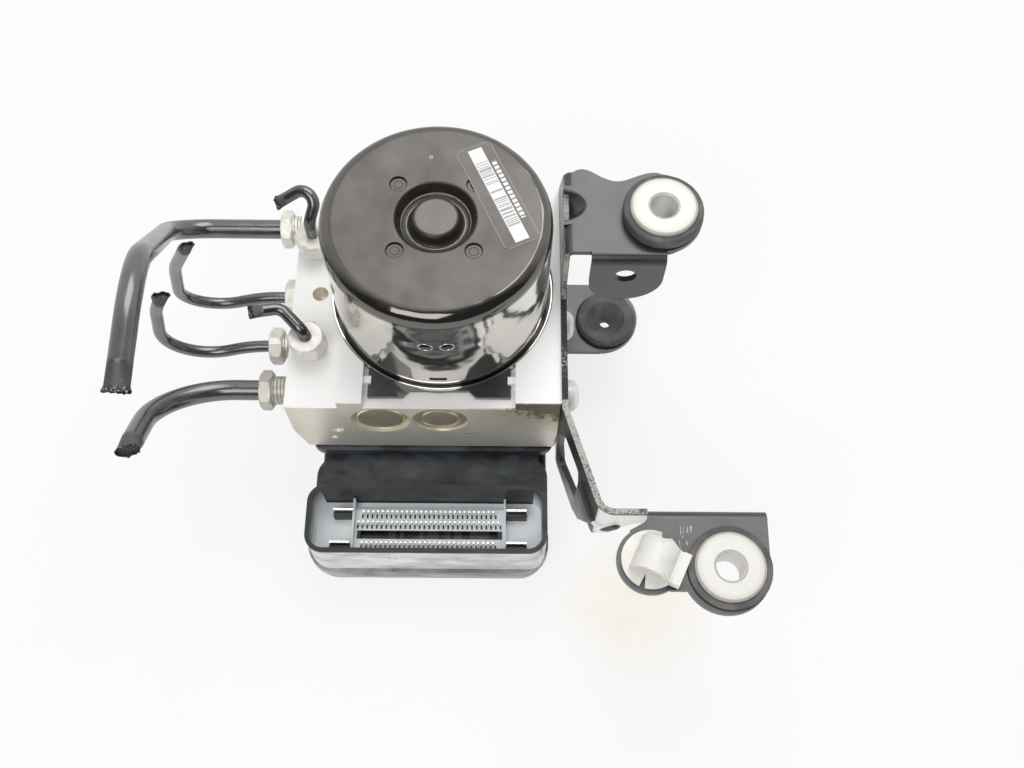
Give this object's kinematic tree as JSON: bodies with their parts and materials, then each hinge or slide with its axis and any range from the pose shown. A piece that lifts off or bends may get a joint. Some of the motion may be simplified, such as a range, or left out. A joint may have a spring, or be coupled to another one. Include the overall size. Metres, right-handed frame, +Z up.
{
  "type": "abs brake module",
  "caption": "Anti-lock brake hydraulic unit: pump motor on a valve block, control unit below, cut brake pipes, and a folded steel mounting bracket.",
  "frame": {"origin": "on the floor under the control unit's bottom cover, on the pump motor's axis", "axes": "+Z up along the motor axis, +X towards the mounting bracket, -Y towards the electrical connector"},
  "size_m": [0.2555, 0.1886, 0.1628],
  "materials": {
    "can_paint": "satin",
    "plate_black": "gloss",
    "block_aluminium": "milled",
    "plug_steel": "satin",
    "nut_zinc": "zinc plated",
    "pipe_black": "satin",
    "bracket_black": "satin",
    "bolt_zinc": "zinc plated",
    "sleeve_zinc": "zinc plated",
    "mount_rubber": "matte",
    "clip_white": "matte",
    "ecu_plastic": "satin",
    "cover_grey": "matte",
    "seal_rubber": "matte",
    "contact_tin": "tin plated",
    "board_green": "satin",
    "inner_steel": "ground",
    "core_steel": "laminated",
    "ferrite": "matte",
    "copper": "enamelled copper",
    "holder_plastic": "matte",
    "carbon": "matte",
    "coil_plastic": "matte"
  },
  "bodies": {
    "base": {"accumulator_caps": "plug_steel", "accumulator_pistons": "inner_steel", "accumulator_springs": "inner_steel", "bracket_arm": "bracket_black", "bracket_bolts": "bolt_zinc", "bracket_front_flange": "bracket_black", "bracket_lower_flange": "bracket_black", "bracket_tab": "bracket_black", "bracket_upper_flange": "bracket_black", "bracket_wall": "bracket_black", "brush_holder": "holder_plastic", "brushes": "carbon", "cable_clip": "clip_white", "circuit_board": "board_green", "connector_pins": "contact_tin", "ecu_cover": "cover_grey", "ecu_gasket": "seal_rubber", "ecu_housing": "ecu_plastic", "ecu_screws": "inner_steel", "hydraulic_block": "block_aluminium", "magnets": "ferrite", "motor_can": "can_paint", "motor_plate": "plate_black", "mount_sleeve_front": "sleeve_zinc", "mount_sleeve_rear": "sleeve_zinc", "pipe_master_front": "pipe_black", "pipe_master_rear": "pipe_black", "pipe_wheel_side_front": "pipe_black", "pipe_wheel_side_rear": "pipe_black", "pipe_wheel_top_front": "pipe_black", "pipe_wheel_top_rear": "pipe_black", "power_blades": "contact_tin", "pump_plugs": "plug_steel", "pump_sleeves": "inner_steel", "rubber_mount_front": "mount_rubber", "rubber_mount_low": "mount_rubber", "rubber_mount_rear": "mount_rubber", "shaft_bearings": "inner_steel", "solenoid_coils": "coil_plastic", "tube_nuts_large": "nut_zinc", "tube_nuts_small": "nut_zinc", "valve_cartridges": "inner_steel"},
    "rotor": {"armature_core": "core_steel", "windings": "copper", "commutator": "copper", "motor_shaft": "inner_steel", "eccentric_ring": "inner_steel"},
    "plunger_front": {"pump_plunger_front": "inner_steel"},
    "plunger_rear": {"pump_plunger_rear": "inner_steel"}
  },
  "joints": [
    {"name": "rotor_spin", "type": "hinge", "parent": "base", "child": "rotor", "pos_m": [0, 0, 0.1], "axis": [0, 0, 1], "continuous": true},
    {"name": "plunger_front_stroke", "type": "slide", "parent": "base", "child": "plunger_front", "axis": [0, -1, 0], "range_m": [0, 0.0024]},
    {"name": "plunger_rear_stroke", "type": "slide", "parent": "base", "child": "plunger_rear", "axis": [0, 1, 0], "range_m": [0, 0.0024]}
  ]
}
